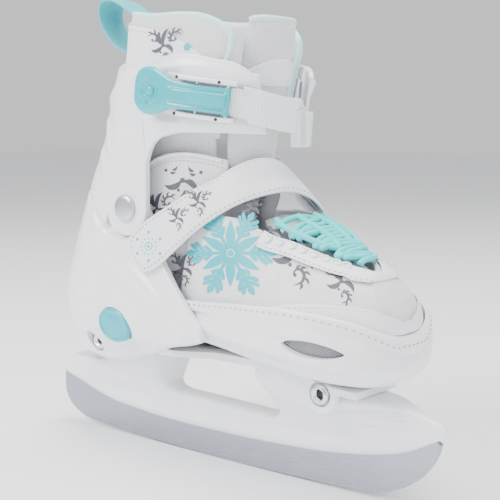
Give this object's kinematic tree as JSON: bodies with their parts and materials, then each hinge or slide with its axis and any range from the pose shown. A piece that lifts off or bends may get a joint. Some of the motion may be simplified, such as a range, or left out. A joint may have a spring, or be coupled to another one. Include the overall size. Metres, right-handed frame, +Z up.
{
  "type": "ice skate",
  "caption": "Child's size-adjustable ice skate with a hard shell boot, hinged cuff, ratchet buckle, instep strap, laces and a steel blade in a bolted plastic holder.",
  "frame": {"origin": "middle of the flat of the blade's running edge, where the skate meets the ice", "axes": "+X towards the toe, +Y towards the inner side of a right foot, +Z up"},
  "size_m": [0.2602, 0.0929, 0.2421],
  "materials": {
    "white_shell": "injection-moulded white plastic",
    "teal_plastic": "turquoise plastic",
    "steel_blade": "ground stainless steel",
    "steel_hardware": "plated steel",
    "white_leather": "white coated leatherette",
    "upper_cloth": "woven polyester with printed pattern",
    "liner_mesh": "padded mesh lining",
    "teal_cord": "turquoise braid and webbing",
    "grey_cloth": "grey mesh and hook-and-loop tape"
  },
  "bodies": {
    "base": {"ankle_rivet_inner": "steel_hardware", "ankle_rivet_outer": "steel_hardware", "ankle_washer_inner": "steel_hardware", "ankle_washer_outer": "steel_hardware", "blade": "steel_blade", "blade_holder": "white_shell", "footbed": "grey_cloth", "front_bolt": "steel_hardware", "front_sleeve_nut": "steel_hardware", "heel_shell": "white_shell", "latch_spring": "steel_hardware", "liner_heel": "liner_mesh", "quarter": "upper_cloth", "rear_bolt": "steel_hardware", "rear_sleeve_nut": "steel_hardware"},
    "toe_half": {"toe_shell": "white_shell", "size_rack": "white_shell", "rack_screw_outer": "steel_hardware", "rack_screw_inner": "steel_hardware", "vent_mesh_outer": "grey_cloth", "vent_mesh_inner": "grey_cloth", "vamp": "upper_cloth", "toe_rand": "white_leather", "eyestay": "white_leather", "lace": "teal_cord", "tongue_toe": "liner_mesh", "strap_base": "grey_cloth"},
    "cuff": {"cuff_shell": "white_shell", "liner_collar": "liner_mesh", "tongue_top": "liner_mesh", "pull_loop": "teal_cord", "buckle_base": "white_shell", "lever_pin": "steel_hardware", "pawl_pin": "steel_hardware", "buckle_rivet_1": "steel_hardware", "buckle_rivet_2": "steel_hardware", "ladder_strap": "white_shell", "strap_rivet": "steel_hardware"},
    "instep_strap_body": {"instep_strap": "white_leather"},
    "lever": {"buckle_lever": "teal_plastic"},
    "pawl": {"ratchet_pawl": "white_shell"},
    "button": {"size_button": "teal_plastic", "latch_bar": "steel_hardware"}
  },
  "joints": [
    {"name": "cuff_flex", "type": "hinge", "parent": "base", "child": "cuff", "pos_m": [-0.0362, 0, 0.1321], "axis": [0, 1, 0], "range_deg": [0, 6], "stiffness_Nm_per_rad": 6},
    {"name": "toe_slide", "type": "slide", "parent": "base", "child": "toe_half", "axis": [1, 0, 0], "range_m": [0, 0.018]},
    {"name": "button_press", "type": "slide", "parent": "base", "child": "button", "axis": [0, 1, 0], "range_m": [0, 0.0035], "stiffness_N_per_m": 600, "deforming": ["latch_spring"]},
    {"name": "strap_open", "type": "hinge", "parent": "toe_half", "child": "instep_strap_body", "pos_m": [0.03008, 0.03193, 0.12791], "axis": [0.032, 0.4102, 0.9114], "range_deg": [0, 60]},
    {"name": "lever_open", "type": "hinge", "parent": "cuff", "child": "lever", "pos_m": [0.02984, -0.03497, 0.1845], "axis": [0.1706, -0.0325, 0.9848], "range_deg": [0, 105]},
    {"name": "pawl_lift", "type": "hinge", "parent": "cuff", "child": "pawl", "pos_m": [0.01537, -0.04015, 0.18653], "axis": [-0.1607, 0.0494, -0.9858], "range_deg": [0, 6], "stiffness_Nm_per_rad": 0.05}
  ]
}
